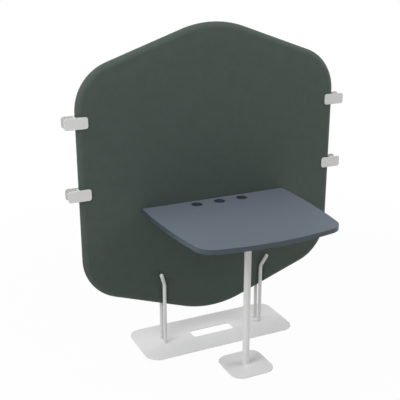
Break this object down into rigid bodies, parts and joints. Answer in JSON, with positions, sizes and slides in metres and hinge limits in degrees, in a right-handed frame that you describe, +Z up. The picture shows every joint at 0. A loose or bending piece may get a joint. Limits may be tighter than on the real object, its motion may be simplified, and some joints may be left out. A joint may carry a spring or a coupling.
{
  "type": "desk with privacy screen",
  "caption": "Small desk top on a single leg, fixed to a padded floor screen with rounded corners and sliding link clips.",
  "frame": {"origin": "bottom centre of the whole object's bounding box, on the floor", "axes": "+Z up, +Y from the sitting person towards the screen, +X to that person's right"},
  "size_m": [1.4496, 0.821, 1.58],
  "materials": {
    "screen_fabric": "woven wool upholstery, grey-green",
    "foam": "pale wadding",
    "absorber": "needled felt slab",
    "plywood": "plain birch plywood",
    "grey_powder_coat": "fine satin powder coat, light grey",
    "clip_finish": "satin powder coat, light grey",
    "screw_steel": "zinc-plated steel",
    "desk_laminate": "matt laminate, blue-grey",
    "desk_edge": "matt edge strip, blue-grey",
    "under_laminate": "matt balancing laminate",
    "chipboard": "raw chipboard",
    "grommet_plastic": "dark moulded plastic",
    "pad_rubber": "thin rubber"
  },
  "bodies": {
    "screen_and_desk": {"floor_plate": "grey_powder_coat", "floor_plate_pads": "pad_rubber", "rod_front_left": "grey_powder_coat", "rod_front_right": "grey_powder_coat", "rod_rear_left": "grey_powder_coat", "rod_rear_right": "grey_powder_coat", "rod_foot_screws": "screw_steel", "rod_clamp_bolts": "screw_steel", "core_frame": "plywood", "absorber_upper": "absorber", "absorber_lower": "absorber", "padding_front": "foam", "padding_rear": "foam", "cover_front": "screen_fabric", "cover_rear": "screen_fabric", "desk_board": "chipboard", "desk_top_laminate": "desk_laminate", "desk_under_laminate": "under_laminate", "desk_edge_band": "desk_edge", "cable_grommet_left": "grommet_plastic", "cable_grommet_middle": "grommet_plastic", "cable_grommet_right": "grommet_plastic", "leg_tube": "grey_powder_coat", "leg_top_plate": "grey_powder_coat", "leg_top_screws": "screw_steel", "leg_foot_plug": "screw_steel", "leg_foot_plate": "grey_powder_coat", "leg_foot_screw": "screw_steel", "leg_plate_pads": "pad_rubber", "desk_bracket_left": "grey_powder_coat", "desk_bracket_right": "grey_powder_coat", "bracket_desk_screws": "screw_steel", "bracket_screen_bolts": "screw_steel", "bracket_spacers": "screw_steel", "core_inserts": "screw_steel"},
    "clip_left_upper": {"link_clip_left_upper": "clip_finish"},
    "clip_left_lower": {"link_clip_left_lower": "clip_finish"},
    "clip_right_upper": {"link_clip_right_upper": "clip_finish"},
    "clip_right_lower": {"link_clip_right_lower": "clip_finish"}
  },
  "joints": [
    {"name": "clip_left_upper_slide", "type": "slide", "parent": "screen_and_desk", "child": "clip_left_upper", "axis": [0, 0, 1], "range_m": [-0.14, 0.012]},
    {"name": "clip_left_lower_slide", "type": "slide", "parent": "screen_and_desk", "child": "clip_left_lower", "axis": [0, 0, 1], "range_m": [-0.29, 0.13]},
    {"name": "clip_right_upper_slide", "type": "slide", "parent": "screen_and_desk", "child": "clip_right_upper", "axis": [0, 0, 1], "range_m": [-0.14, 0.012]},
    {"name": "clip_right_lower_slide", "type": "slide", "parent": "screen_and_desk", "child": "clip_right_lower", "axis": [0, 0, 1], "range_m": [-0.29, 0.13]}
  ]
}
